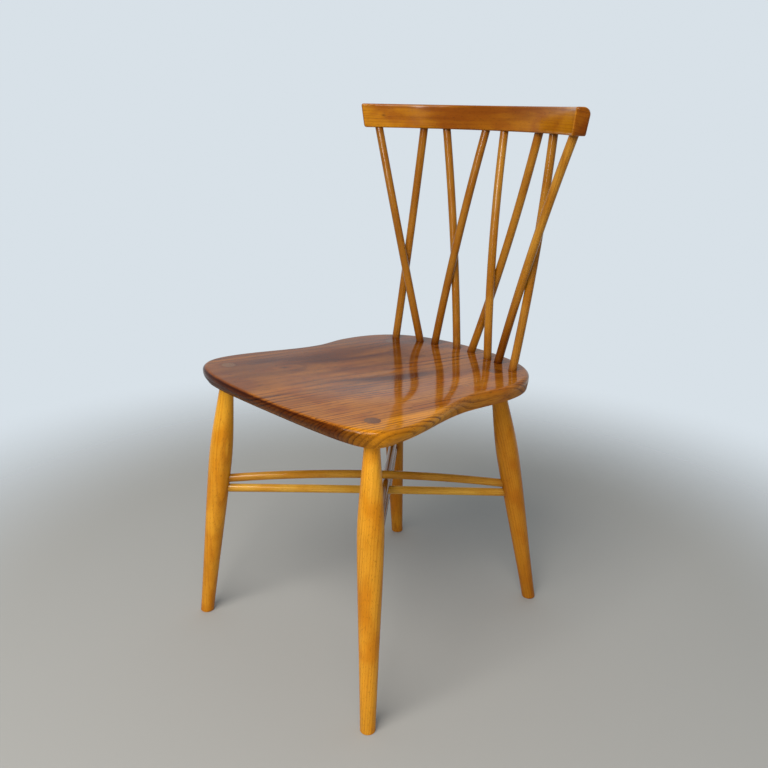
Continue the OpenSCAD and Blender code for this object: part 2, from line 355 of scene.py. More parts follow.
@dataclass(frozen=True)
class Wood:
    """A clear-varnished wood.

    The mesh's grain attribute says where each point lies in the board that the piece was cut
    from: two places across the grain and one along it.  Rings are cylinders about a pith line
    that runs along the grain, so faces, edges and ends all show their own true figure.
    """

    name: str
    pale: Colour            # the wood between the dark lines
    line: Colour            # the dark lines
    band: Colour            # broad darker bands and streaks
    blush: Colour           # the warmer patches
    end: Colour             # what the end grain is toned with
    gloss: Gloss
    pith: Point2            # where the centre of the rings lies, mm
    ring: float             # distance between two rings, mm
    ring_depth: float       # how strongly the lines show, 0 to 1
    band_depth: float       # how strongly the bands show, 0 to 1
    band_size: float        # breadth of a band, mm
    wander: float           # how far the rings wander off true, mm
    fibre: float            # how strongly the fine fibres show, 0 to 1
    flecks: float           # how strongly the short dark flecks show, 0 to 1
    fleck_length: float     # mm
    fleck_breadth: float    # mm
    mottle: float           # how strongly the light and dark patches show, 0 to 1
    slope: float = 0.0      # how far the rings drift across for each mm along
    sap: Colour = (0.0, 0.0, 0.0)       # the pale wood beyond sap_from
    sap_from: float = 1000.0            # where across the board it begins, mm
    streaks: tuple[Streak, ...] = ()
    knots: tuple[Knot, ...] = ()

    @property
    def finish(self) -> str:
        """The name of the material that the wood's finish goes by."""
        return self.name.replace("_wood", "_varnished_wood")

    def material(self) -> bpy.types.Material:
        """Finds the wood's finish, or builds it the first time.

        Returns:
            A material whose colour, sheen and relief follow the grain attribute.
        """
        return bpy.data.materials.get(self.finish) or self._new_material()

    def _new_material(self) -> bpy.types.Material:
        """Builds the finish."""
        material = bpy.data.materials.new(self.finish)
        material.use_nodes = True
        graph = Graph(material.node_tree)
        shader = material.node_tree.nodes["Principled BSDF"]

        place = BoardPlace.read(graph)
        end, tone, polish = (graph.attribute(name) for name in (END_GRAIN, TONE, POLISH))
        wander = (place.noise(WANDER_RATE) - 0.5) * (2.0 * self.wander)
        line, heart = self._rings(place, wander)
        fibre = self._fibre(place)
        bands = self._bands(place.moved(wander), fibre)
        flecks = self._flecks(place, line)
        patches = place.noise(PATCH_RATE, *RAGGED)
        warmth = place.moved(WARMTH_SHIFT).noise(WARMTH_RATE)

        colour = graph.blend(graph.ease(warmth, *WARMTH_SHOWS), self.pale, self.blush)
        sap = graph.ease(
            place.across + wander * 0.5, self.sap_from - SAP_BLUR, self.sap_from + SAP_BLUR
        )
        colour = graph.blend(sap, colour, self.sap)
        colour = graph.blend(line * self.ring_depth, colour, self.line)
        colour = graph.blend(bands, colour, self.band)
        colour = graph.blend(heart, colour, tuple(HEART_SHADE * c for c in self.line))
        shade = (
            1.0
            + (fibre - 0.5) * (2.0 * self.fibre)
            + (patches - 0.5) * (2.0 * self.mottle)
        )
        shade = shade * (1.0 - flecks * self.flecks * (1.0 + end))
        # the tone: the wood's own, painted shade at the joints and painted light on the a pair of
        # stretchers
        lightness = 1.0 + tone
        tint = graph.join(*(
            shade * lightness ** power for power in (RED_POWER, GREEN_POWER, BLUE_POWER)
        ))
        colour = graph.blend(1.0, colour, tint, "MULTIPLY")
        toned = graph.blend(1.0, colour, self.end, "MULTIPLY")
        colour = graph.blend(graph.ease(end, *END_SHOWS), colour, toned)

        gloss = self.gloss
        roughness = (
            gloss.roughness + (fibre - 0.5) * gloss.fibre_blur + flecks * gloss.fleck_blur
            + (1.0 - polish) * gloss.dull
        )
        height = (
            fibre * gloss.fibre_height - line * gloss.line_depth - flecks * gloss.fleck_depth
        )
        bump = graph.node(
            "ShaderNodeBump", {},
            {"Strength": gloss.relief, "Distance": gloss.grain_depth, "Height": height},
        )
        links = material.node_tree.links
        links.new(colour.socket, shader.inputs["Base Color"])
        links.new(roughness.socket, shader.inputs["Roughness"])
        links.new(bump.socket, shader.inputs["Normal"])
        shader.inputs["IOR"].default_value = gloss.index
        shader.inputs["Coat Weight"].default_value = gloss.coat
        shader.inputs["Coat Roughness"].default_value = gloss.coat_roughness
        shader.inputs["Coat IOR"].default_value = gloss.coat_index
        return material

    def _rings(self, place: BoardPlace, wander: Wire) -> tuple[Wire, Value]:
        """Works out the growth rings.

        Args:
            place: where the point lies in the board.
            wander: how far the rings are off true there, mm.

        Returns:
            The dark lines and the hearts of the knots, both 0 to 1.
        """
        graph, across, along = place.graph, place.across, place.along
        ripple = (place.noise(RIPPLE_RATE) - 0.5) * (RIPPLE_SHARE * self.wander)
        x = across + wander + ripple + along * self.slope - self.pith[0]
        y = place.depth + wander * WANDER_IN_DEPTH - self.pith[1]
        radius = (x * x + y * y).math("SQRT")
        heart: Value = 0.0
        for knot in self.knots:
            away = (
                ((across - knot.across) / knot.size) ** 2.0
                + ((along - knot.along) / (knot.size * knot.stretch)) ** 2.0
            )
            radius = radius + (away * -knot.ring_hold).math("EXPONENT") * knot.pull
            heart = (away * -knot.heart_hold).math("EXPONENT") * knot.heart_depth + heart
        often, shift = RING_UNEVENNESS
        uneven = graph.noise(graph.join(radius * often, 0.0, 0.0), 1.0) * shift
        within = (radius / self.ring + uneven).math("FRACT")
        line = graph.ease(within, *LINE_RISES) * graph.ease(within, *LINE_FALLS)
        outward, onward = RING_STRENGTH_RATE
        strength = graph.noise(graph.join(radius * outward, along * onward, 7.0), *RAGGED)
        return line * graph.ease(strength, *STRONG_RING, (FAINTEST_RING, 1.0)), heart

    def _bands(self, place: BoardPlace, fibre: Wire) -> Wire:
        """Broad darker bands that run with the grain, and the streaks, 0 to 1."""
        rate = 1.0 / self.band_size
        bands = place.noise((rate, rate * BAND_STRETCH), *RAGGED)
        dark = place.graph.ease(bands, *BAND_SHOWS) * self.band_depth
        for streak in self.streaks:
            forward = place.along - streak.along
            aside = place.across - streak.across - forward * streak.slant
            away = (aside / streak.breadth) ** 2.0 + (forward / streak.length) ** 2.0
            dark = dark + (away * -1.0).math("EXPONENT") * streak.depth
        weakest, more = BAND_FRAY
        frayed = dark * (weakest + fibre * more)
        return frayed.math("MINIMUM", 1.0)

    def _fibre(self, place: BoardPlace) -> Wire:
        """Fine fibres along the grain, about 0.5 on average."""
        fine = place.noise(FINE_FIBRE_RATE, *FIBROUS)
        broad = place.noise(BROAD_FIBRE_RATE, *FIBROUS)
        return fine * FINE_SHARE + broad * BROAD_SHARE

    def _flecks(self, place: BoardPlace, line: Wire) -> Wire:
        """Short dark pores along the grain, thickest in the dark lines, 0 to 1."""
        pores = place.noise((1.0 / self.fleck_breadth, 1.0 / self.fleck_length), 1.0)
        return place.graph.ease(pores + line * FLECKS_IN_LINES, *FLECK_SHOWS)


class Woods(Enum):
    """The chair's woods."""

    SEAT = Wood(
        name="seat_wood",
        pale=(0.380, 0.130, 0.0100), line=(0.100, 0.024, 0.002), band=(0.085, 0.018, 0.002),
        blush=(0.300, 0.086, 0.0055), end=(0.26, 0.21, 0.30),
        gloss=Gloss(0.09, 0.45, 0.05, 0.05, 0.16, 1.17),
        pith=(-60.0, -200.0), ring=5.0, ring_depth=0.92, band_depth=0.42, band_size=46.0,
        wander=7.0, fibre=0.42, flecks=0.50, fleck_length=14.0, fleck_breadth=1.1,
        mottle=0.22,
        sap=(0.54, 0.200, 0.008), sap_from=186.0,
        streaks=(
            Streak(14.0, -62.0, 13.0, 85.0, 0.70, 0.10),
            Streak(47.0, -104.0, 13.0, 60.0, 0.48, 0.05),
            Streak(36.0, 20.0, 17.0, 70.0, 0.75, 0.10),
            Streak(-86.0, -215.0, 26.0, 60.0, 0.34),
            Streak(-84.0, -60.0, 12.0, 100.0, 0.38, 0.06),
            Streak(-118.0, -150.0, 14.0, 70.0, 0.35),
            Streak(-70.0, 60.0, 15.0, 60.0, 0.22),
            Streak(78.0, -160.0, 10.0, 60.0, 0.25),
            Streak(-150.0, -40.0, 130.0, 330.0, 0.56),
            Streak(10.0, 150.0, 120.0, 170.0, 0.25),
        ),
        knots=(Knot(-75.7, -142.6, 5.0, 8.0),),
    )
    LEG = Wood(
        name="leg_wood",
        pale=(0.56, 0.245, 0.016), line=(0.36, 0.125, 0.006), band=(0.41, 0.145, 0.006),
        blush=(0.47, 0.170, 0.006), end=(0.30, 0.24, 0.36),
        gloss=Gloss(0.17, 0.20, 0.08, 0.08, 0.10, 1.22),
        pith=(-17.0, 22.0), ring=3.6, ring_depth=0.62, band_depth=0.38, band_size=26.0,
        wander=5.0, fibre=0.20, flecks=0.32, fleck_length=4.0, fleck_breadth=0.9,
        mottle=0.20, slope=0.05,
    )
    ROD = Wood(
        name="rod_wood",
        pale=(0.315, 0.132, 0.012), line=(0.190, 0.064, 0.004), band=(0.205, 0.068, 0.003),
        blush=(0.265, 0.094, 0.005), end=(0.42, 0.30, 0.26),
        gloss=Gloss(0.15, 0.20, 0.26, 0.07, 0.08, 1.22),
        pith=(-40.0, 35.0), ring=3.0, ring_depth=0.62, band_depth=0.45, band_size=18.0,
        wander=3.0, fibre=0.20, flecks=0.26, fleck_length=4.5, fleck_breadth=0.8,
        mottle=0.18,
    )
    RAIL = Wood(
        name="rail_wood",
        pale=(0.45, 0.176, 0.004), line=(0.21, 0.062, 0.002), band=(0.17, 0.043, 0.0015),
        blush=(0.30, 0.090, 0.003), end=(0.52, 0.40, 0.34),
        gloss=Gloss(0.14, 0.20, 0.06, 0.07, 0.10, 1.26),
        pith=(-70.0, -14.0), ring=4.6, ring_depth=0.44, band_depth=0.45, band_size=20.0,
        wander=6.0, fibre=0.26, flecks=0.32, fleck_length=5.0, fleck_breadth=0.8,
        mottle=0.18,
        streaks=(
            Streak(24.0, -50.0, 45.0, 110.0, 0.88),
            Streak(20.0, 110.0, 45.0, 90.0, 0.36),
        ),
        knots=(Knot(20.0, -204.0, 2.2, 3.0),),
    )


# ------------------------------------------------------------------------------ mesh helpers


def new_object(
    name: str, points: np.ndarray, faces: Sequence[Sequence[int]]
) -> bpy.types.Object:
    """Makes a mesh object.

    Args:
        name: its name.
        points: its vertices, in metres.
        faces: vertex numbers of each face, anticlockwise from outside.

    Returns:
        The object, at the origin.
    """
    mesh = bpy.data.meshes.new(name)
    mesh.from_pydata(points.tolist(), [], [list(f) for f in faces])
    mesh.update()
    piece = bpy.data.objects.new(name, mesh)
    bpy.context.scene.collection.objects.link(piece)
    return piece


def loft(name: str, rings: Sequence[np.ndarray]) -> bpy.types.Object:
    """Skins a stack of rings that each have the same number of points, and closes both ends.

    Args:
        name: the object's name.
        rings: one array of points for each ring, in metres; seen from the last ring towards
            the first one they run anticlockwise.

    Returns:
        The closed solid.
    """
    size = len(rings[0])
    points = np.vstack([*rings, rings[0].mean(axis=0), rings[-1].mean(axis=0)])
    first_pole = size * len(rings)
    last_pole = first_pole + 1
    faces: list[tuple[int, ...]] = []
    for i in range(size):
        j = (i + 1) % size
        for base in range(0, first_pole - size, size):
            faces.append((base + i, base + j, base + j + size, base + i + size))
        last = first_pole - size
        faces.append((j, i, first_pole))
        faces.append((last + i, last + j, last_pole))
    return new_object(name, points, faces)


def bake(piece: bpy.types.Object) -> None:
    """Turns an object's modifiers into its plain mesh."""
    graph = bpy.context.evaluated_depsgraph_get()
    mesh = bpy.data.meshes.new_from_object(piece.evaluated_get(graph))
    piece.modifiers.clear()
    old = piece.data
    piece.data = mesh
    mesh.name = piece.name
    bpy.data.meshes.remove(old)


def bore(piece: bpy.types.Object, cutters: Sequence[bpy.types.Object]) -> None:
    """Cuts solids out of a piece, and deletes them.

    Args:
        piece: what is cut; its mesh is replaced.
        cutters: the solids, which don't meet one another.
    """
    verts: list[np.ndarray] = []
    faces: list[list[int]] = []
    for cutter in cutters:
        start = sum(len(v) for v in verts)
        verts.append(vertices(cutter))
        faces += [[start + v for v in p.vertices] for p in cutter.data.polygons]
        bpy.data.objects.remove(cutter)
    tool = new_object(f"{piece.name}_cutter", np.vstack(verts), faces)
    cut = piece.modifiers.new("holes", "BOOLEAN")
    cut.operation = "DIFFERENCE"
    cut.solver = "EXACT"
    cut.object = tool
    bake(piece)
    bpy.data.objects.remove(tool)


def vertices(piece: bpy.types.Object) -> np.ndarray:
    """Reads a mesh's vertices as rows of x, y and z."""
    co = np.empty(len(piece.data.vertices) * 3, np.float32)
    piece.data.vertices.foreach_get("co", co)
    return co.reshape(-1, 3).astype(float)


@dataclass(frozen=True)
class GrainField:
    """Where a piece lies in its board.

    place gives two coordinates across the grain and one along it for each point; way gives
    the grain's direction there.
    """

    place: Callable[[np.ndarray], np.ndarray]
    way: Callable[[np.ndarray], np.ndarray]

    @staticmethod
    def straight(
        origin: Sequence[float], across: Sequence[float], along: Sequence[float]
    ) -> "GrainField":
        """The grain of a straight piece.

        Args:
            origin: the point whose place is zero.
            across: a direction roughly across the grain.
            along: the direction of the grain.

        Returns:
            The field.
        """
        w = unit(np.asarray(along, float))
        v = unit(np.cross(w, np.asarray(across, float)))
        u = np.cross(v, w)
        axes = np.stack([u, v, w])
        start = np.asarray(origin, float)
        return GrainField(
            lambda points: (points - start) @ axes.T,
            lambda points: np.broadcast_to(w, points.shape),
        )


def unit(v: np.ndarray) -> np.ndarray:
    """Scales a vector to length one."""
    return v / np.linalg.norm(v)


def dress(
    piece: bpy.types.Object, wood: Wood, node: str, grain: GrainField,
    shift: Sequence[float] = (0.0, 0.0, 0.0), tone: float | np.ndarray = 0.0,
    polish: float | np.ndarray = 1.0, crease: float = 38.0,
) -> bpy.types.Object:
    """Finishes a piece: smooth shading, grain attributes, material and its place in the frame.

    Args:
        piece: the finished mesh.
        wood: its wood.
        node: the CAD node that it stands for.
        grain: how its grain runs.
        shift: how far along and across the board the piece was cut, in metres.
        tone: how much lighter or darker it is, all over or for each point.
        polish: 1 where it is polished and 0 where it was left dull, likewise.
        crease: edges sharper than this many degrees stay sharp.

    Returns:
        The piece.
    """
    mesh = piece.data
    mesh.shade_smooth()
    mesh.set_sharp_from_angle(angle=math.radians(crease))
    points = vertices(piece)

    def store(name: str, kind: str, domain: str, field: str, values: np.ndarray) -> None:
        """Writes one attribute."""
        layer = mesh.attributes.get(name) or mesh.attributes.new(name, kind, domain)
        layer.data.foreach_set(field, np.ascontiguousarray(values, np.float32).ravel())

    store(GRAIN, "FLOAT_VECTOR", "POINT", "vector", grain.place(points) + np.array(shift))
    corners = np.empty(len(mesh.loops), np.int32)
    mesh.loops.foreach_get("vertex_index", corners)
    normals = np.empty(len(mesh.loops) * 3, np.float32)
    mesh.corner_normals.foreach_get("vector", normals)
    facing = np.abs((normals.reshape(-1, 3) * grain.way(points)[corners]).sum(axis=1))
    store(END_GRAIN, "FLOAT", "CORNER", "value", facing)
    store(TONE, "FLOAT", "POINT", "value", np.broadcast_to(tone, len(points)))
    store(POLISH, "FLOAT", "POINT", "value", np.broadcast_to(polish, len(points)))

    mesh.materials.clear()
    mesh.materials.append(wood.material())
    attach(piece, BODY)
    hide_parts(node)
    LOG.info("%s: %d vertices, %s", piece.name, len(points), wood.name)
    return piece


# ------------------------------------------------------------------------------ curves


def cubic(p: Sequence[Point2], t: np.ndarray) -> np.ndarray:
    """Points of one cubic curve.

    Args:
        p: its two ends with their two handles between them.
        t: where the points lie along it, 0 to 1.

    Returns:
        One row for each value of t.
    """
    q = np.asarray(p, float)
    t = t[:, None]
    return (
        (1 - t) ** 3 * q[0] + 3 * t * (1 - t) ** 2 * q[1]
        + 3 * t * t * (1 - t) * q[2] + t ** 3 * q[3]
    )


def chain(curves: Sequence[Sequence[Point2]], steps: Sequence[int]) -> np.ndarray:
    """Joins cubic curves end to end into one row of points, with the last end included."""
    parts = [cubic(p, np.arange(n) / n) for p, n in zip(curves, steps)]
    return np.vstack([*parts, np.asarray(curves[-1][3], float)[None, :]])


def ramp(value: np.ndarray, start: float, full: float) -> np.ndarray:
    """Runs from 0 at start to 1 at full, which may lie below start, and stays there."""
    return np.clip((value - start) / (full - start), 0.0, 1.0)


def hump(value: np.ndarray, centre: float, breadth: float) -> np.ndarray:
    """A smooth hump: 1 at its centre, and dying away on both sides."""
    return np.exp(-((value - centre) / breadth) ** 2)


def node_points(node: str) -> np.ndarray:
    """Vertices of a CAD node, in metres."""
    return vertices(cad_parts[node])


# ------------------------------------------------------------------------------ rods


@dataclass(frozen=True)
class RodLine:
    """The centre line of a bowed rod: its two ends and how its middle stands out, in metres."""

    start: np.ndarray
    end: np.ndarray
    sag: np.ndarray
    radius: float

    @staticmethod
    def of(node: str) -> "RodLine":
        """Measures a rod's CAD node.

        Args:
            node: its name.

        Returns:
            The line, from its lower end to its upper end.
        """
        points = node_points(node)
        middle = points.mean(axis=0)
        axis = np.linalg.svd(points - middle, full_matrices=False)[2][0]
        if axis[2] < 0:
            axis = -axis
        reach = (points - middle) @ axis
        near_end = 3.0 * MM     # the end faces lean a little off square to the chord
        end_ring = points[reach < reach.min() + near_end]
        start = end_ring.mean(axis=0)
        end = points[reach > reach.max() - near_end].mean(axis=0)
        chord = end - start
        share = (points - start) @ chord / (chord @ chord)
        off = points - start - share[:, None] * chord
        swell = 4 * share * (1 - share)
        sag = (off * swell[:, None]).sum(axis=0) / (swell ** 2).sum()
        radius = np.linalg.norm(end_ring - start, axis=1).mean()
        return RodLine(start, end, sag, float(radius))


def painted_joint_shade(
    points: np.ndarray, rods: Sequence[RodLine], reach: float, depth: float
) -> np.ndarray:
    """Works out the painted shade that darkens a piece round each of its joints, where the parts
    meet.

    Args:
        points: where it is wanted, in metres.
        rods: the rods that go into the piece.
        reach: how far the painted shade spreads, in mm.
        depth: how dark the painted shade is at the joint.

    Returns:
        A tone for each point, 0 away from the joints and below 0 at them.
    """
    shade = np.zeros(len(points))
    for rod in rods:
        line = rod.end - rod.start
        share = np.clip((points - rod.start) @ line / (line @ line), 0.0, 1.0)[:, None]
        centre = rod.start + line * share + rod.sag * 4 * share * (1 - share)
        gap = np.linalg.norm(points - centre, axis=1) - rod.radius
        shade -= depth * np.exp(-np.maximum(gap, 0.0) / (reach * MM))
    return shade


class RodTree:
    """The Geometry Nodes tree that makes every round rod of the chair."""

    INPUTS = (
        ("Start", "NodeSocketVector"), ("Middle", "NodeSocketVector"),
        ("End", "NodeSocketVector"), ("Radius", "NodeSocketFloat"),
        ("Sides", "NodeSocketInt"), ("Rings", "NodeSocketInt"),
        ("Material", "NodeSocketMaterial"),
    )

    def __init__(self) -> None:
        """Builds the tree once."""
        self.tree = bpy.data.node_groups.new("bowed_rod", "GeometryNodeTree")
        face = self.tree.interface
        for name, kind in self.INPUTS:
            face.new_socket(name, in_out="INPUT", socket_type=kind)
        face.new_socket("Geometry", in_out="OUTPUT", socket_type="NodeSocketGeometry")
        graph = Graph(self.tree)
        source = self.tree.nodes.new("NodeGroupInput")
        given = {name: Wire(graph, source.outputs[name]) for name, _ in self.INPUTS}

        line = graph.node(
            "GeometryNodeCurveQuadraticBezier", {},
            {"Resolution": given["Rings"], "Start": given["Start"],
             "Middle": given["Middle"], "End": given["End"]},
        )
        circle = graph.node(
            "GeometryNodeCurvePrimitiveCircle", {"mode": "RADIUS"},
            {"Resolution": given["Sides"], "Radius": given["Radius"]},
        )
        tube = graph.node(
            "GeometryNodeCurveToMesh", {},
            {"Curve": line, "Profile Curve": circle, "Fill Caps": True},
        )
        real = graph.node("GeometryNodeRealizeInstances", {}, {"Geometry": tube})
        done = graph.node(
            "GeometryNodeSetMaterial", {}, {"Geometry": real, "Material": given["Material"]}
        )
        result = self.tree.nodes.new("NodeGroupOutput")
        self.tree.links.new(done.socket, result.inputs["Geometry"])

    def make(
        self, name: str, line: RodLine, wood: Wood, play: float = 0.0,
        sides: int = 40, rings: int = 72,
    ) -> bpy.types.Object:
        """Makes one rod.

        Args:
            name: the object's name.
            line: its centre line.
            wood: its wood.
            play: how much thicker than the line says its radius is, in mm.
            sides: how many faces go round it.
            rings: how many points lie along it.

        Returns:
            The rod as a plain mesh.
        """
        piece = new_object(name, np.zeros((1, 3)), [])
        modifier = piece.modifiers.new("rod", "NODES")
        modifier.node_group = self.tree
        middle = (line.start + line.end) / 2 + 2 * line.sag
        values = {
            "Start": line.start.tolist(), "Middle": middle.tolist(), "End": line.end.tolist(),
            "Radius": line.radius + play * MM, "Sides": sides, "Rings": rings,
            "Material": wood.material(),
        }
        for item in self.tree.interface.items_tree:
            if item.in_out == "INPUT":
                modifier[item.identifier] = values[item.name]
        bake(piece)
        return piece

    def cutters(
        self, lines: Sequence[RodLine], wood: Wood, play: float, sides: int, rings: int
    ) -> list[bpy.types.Object]:
        """Makes the solids that cut the holes for some rods, as make makes a rod."""
        return [self.make("hole", line, wood, play, sides, rings) for line in lines]


@dataclass(frozen=True)
class RodRow:
    """A set of rods of one kind: the spindles or the stretchers."""

    nodes: tuple[str, ...]
    seed: int
    hidden: Point2          # how much of it is in its lower and its upper hole, mm
    tones: tuple[Point2, ...]           # each rod's tone, partly painted light on the stretchers, and what its lower third adds
    hole_reach: float = 9.0             # how far the painted shade at its holes spreads, mm
    hole_shade: float = -0.42            # what that painted shade adds
    foot_fade: Point2 = (0.5, 0.1875)   # where along it the foot's tone starts and is full
    spread: tuple[float, float, float] = (0.012, 0.012, 2.0)    # how far apart rods were cut, m

    def build(self, tree: RodTree) -> list[RodLine]:
        """Builds and dresses every rod of the row.

        Args:
            tree: the tree that makes rods.

        Returns:
            The rods' centre lines.
        """
        wood = Woods.ROD.value
        rng = np.random.default_rng(self.seed)
        lines = [RodLine.of(node) for node in self.nodes]
        for node, line, (tone, foot) in zip(self.nodes, lines, self.tones):
            piece = tree.make(f"{node}_wood", line, wood)
            turn = rng.uniform(0, 2 * math.pi)
            across = (math.cos(turn), math.sin(turn), 0.0)
            grain = GrainField.straight(line.start, across, line.end - line.start)
            shift = rng.uniform(-1.0, 1.0, 3) * self.spread
            # painted shade at the rod's holes, and the tone of its lower third
            shade = self._shade(vertices(piece), line, foot)
            dress(piece, wood, node, grain, shift, tone + shade)
        return lines

    def _shade(self, points: np.ndarray, line: RodLine, foot: float) -> np.ndarray:
        """Works out the painted shade where a rod comes out of its holes, and the tone of its
        lower third.

        Args:
            points: where it is wanted, in metres.
            line: the rod's centre line.
            foot: what the rod's lower third adds.

        Returns:
            A tone for each point.
        """
        chord = line.end - line.start
        span = float(np.linalg.norm(chord))
        share = (points - line.start) @ chord / span ** 2
        out_low = np.maximum(share * span / MM - self.hidden[0], 0.0)
        out_high = np.maximum((1 - share) * span / MM - self.hidden[1], 0.0)
        # painted shade where the rod comes out of each hole
        rim = np.exp(-out_low / self.hole_reach) + np.exp(-out_high / self.hole_reach)
        return foot * ramp(share, *self.foot_fade) + self.hole_shade * rim


SPINDLES = RodRow(
    tuple(f"spindle_{i}" for i in range(1, 9)), 11, (17.0, 18.0),
    ((-0.10, -0.06), (-0.06, -0.05), (-0.04, -0.06), (-0.08, -0.16),
     (0.10, -0.10), (0.02, -0.18), (0.04, -0.06), (0.20, -0.60)),
)
STRETCHERS = RodRow(
    tuple(f"stretcher_{pair}_{row}" for pair in "ab" for row in ("upper", "lower")), 23,
    # the a pair's lighter tones stand in for the highlights along it, as painted light; the b pair
    # is darker
    (15.0, 15.0), ((0.36, 0.0), (0.80, 0.0), (-0.24, 0.0), (-0.24, 0.0)),
)


# ------------------------------------------------------------------------------ seat


@dataclass(frozen=True)
class Outline:
    """One side of a seat outline, counted from the seat's front edge, in mm."""

    front: float
    widest: Point2
    waist: Point2
    hip: Point2
    back: float
    corner: Point2

    def points(self, steps: Sequence[int] = (56, 32, 18, 50)) -> np.ndarray:
        """The full closed outline.

        Args:
            steps: how many points each of the four curves of a side takes.

        Returns:
            Points anticlockwise as seen from above, from the middle of the front.
        """
        (w, wy), (a, ay), (h, hy) = self.widest, self.waist, self.hip
        # each row is one curve: its end, the two handles, and its other end
        half = chain(
            [
                [(0, self.front), (self.corner[0], self.front), (w, wy - self.corner[1]),
                 (w, wy)],
                [(w, wy), (w, wy + 60), (a, ay - 60), (a, ay)],
                [(a, ay), (a, ay + 20), (h, hy - 20), (h, hy)],
                [(h, hy), (h, hy + 100), (130, self.back), (0, self.back)],
            ],
            steps,
        )
        other = half[-2:0:-1] * (-1, 1)
        return np.vstack([half, other])


@dataclass(frozen=True)
class EdgeTone:
    """How the seat's rim and bevel are darkened, and its pale sapwood edge is lightened below the
    rim instead, in mm.
    """

    sapwood: Point2 = (110.0, 170.0)    # where across the seat it begins and is full
    rim: Point2 = (-2.6, 1.6)           # level and breadth of the dark line round the top
    rim_tone: float = -0.66
    bevel: Point2 = (-3.5, -7.0)        # the levels where the bevel's tone begins and is full
    bevel_tone: float = -0.10
    sapwood_tones: Point2 = (0.06, 0.24)            # at the front corner and behind it
    sapwood_lightens: Point2 = (20.0, 100.0)        # where, from the front, it changes

    def tone(self, slab: np.ndarray, outside: np.ndarray) -> np.ndarray:
        """Works out the tone.

        Args:
            slab: the seat's points in the flat slab, in mm.
            outside: which of them lie outside the hollow.

        Returns:
            A tone for each point.
        """
        x, y, z = slab.T
        sapwood = ramp(x, *self.sapwood)
        rim = hump(z, *self.rim) * outside
        below = ramp(z, *self.bevel) * outside
        near, far = self.sapwood_tones
        bright = near + (far - near) * ramp(y, *self.sapwood_lightens)
        dark = self.rim_tone * rim + self.bevel_tone * below
        return (1.0 - sapwood) * dark + bright * sapwood * below


